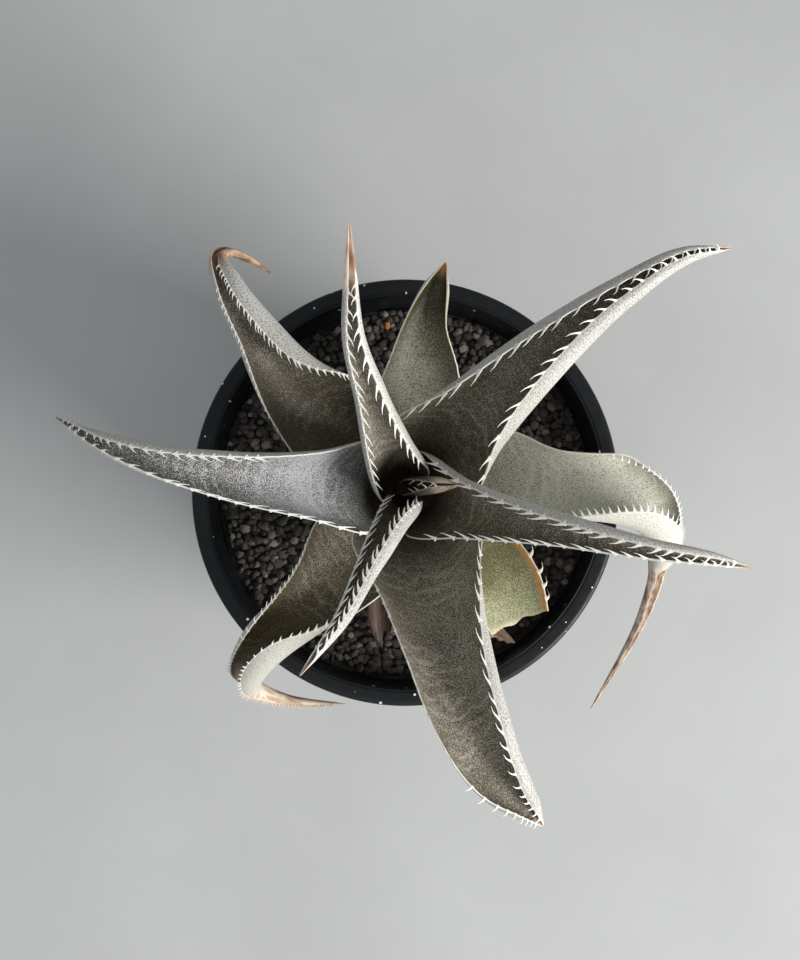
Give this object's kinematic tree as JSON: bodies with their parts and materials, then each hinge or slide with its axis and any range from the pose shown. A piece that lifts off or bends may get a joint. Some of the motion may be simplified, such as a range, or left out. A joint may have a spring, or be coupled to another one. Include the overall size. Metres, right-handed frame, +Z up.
{
  "type": "potted bromeliad",
  "caption": "Spiny rosette of channelled grey-green leaves with hooked white margins, growing in dark gravel in a round black plastic nursery pot.",
  "frame": {"origin": "middle of the pot's flat underside, on the surface it stands on", "axes": "+Z up along the pot's axis; -Y towards the broad front leaf, +X towards the long right leaf"},
  "size_m": [0.2206, 0.1927, 0.2428],
  "materials": {
    "pot": "moulded black plastic, slightly satin, with a few pale dust specks",
    "gravel": "loose dark brown and black porous grit, matt",
    "stem": "dry corky scars of old leaf bases, matt",
    "leaf_grey": "grey-brown leaf skin under fine white scurf, white underside and spines, low sheen",
    "leaf_pale": "pale grey-green leaf skin with white scurf, cream margins, tan dried tips",
    "leaf_fresh": "yellow-green leaf skin with a faint bloom and orange-tan margin",
    "leaf_dry": "dead tan and brown leaf, papery and matt"
  },
  "bodies": {
    "root": {"pot": "pot", "gravel": "gravel", "stem": "stem", "heart_leaf": "leaf_grey", "leaf_front_upright": "leaf_grey", "leaf_back_upright": "leaf_grey", "leaf_right": "leaf_grey", "leaf_left": "leaf_grey", "leaf_back_right": "leaf_grey", "leaf_front": "leaf_grey", "leaf_back_left": "leaf_grey", "leaf_right_low": "leaf_pale", "leaf_front_left": "leaf_pale", "leaf_back_short": "leaf_fresh", "leaf_front_right_short": "leaf_fresh", "dry_leaf_front": "leaf_dry", "dry_leaf_stub": "leaf_dry"}
  },
  "joints": []
}
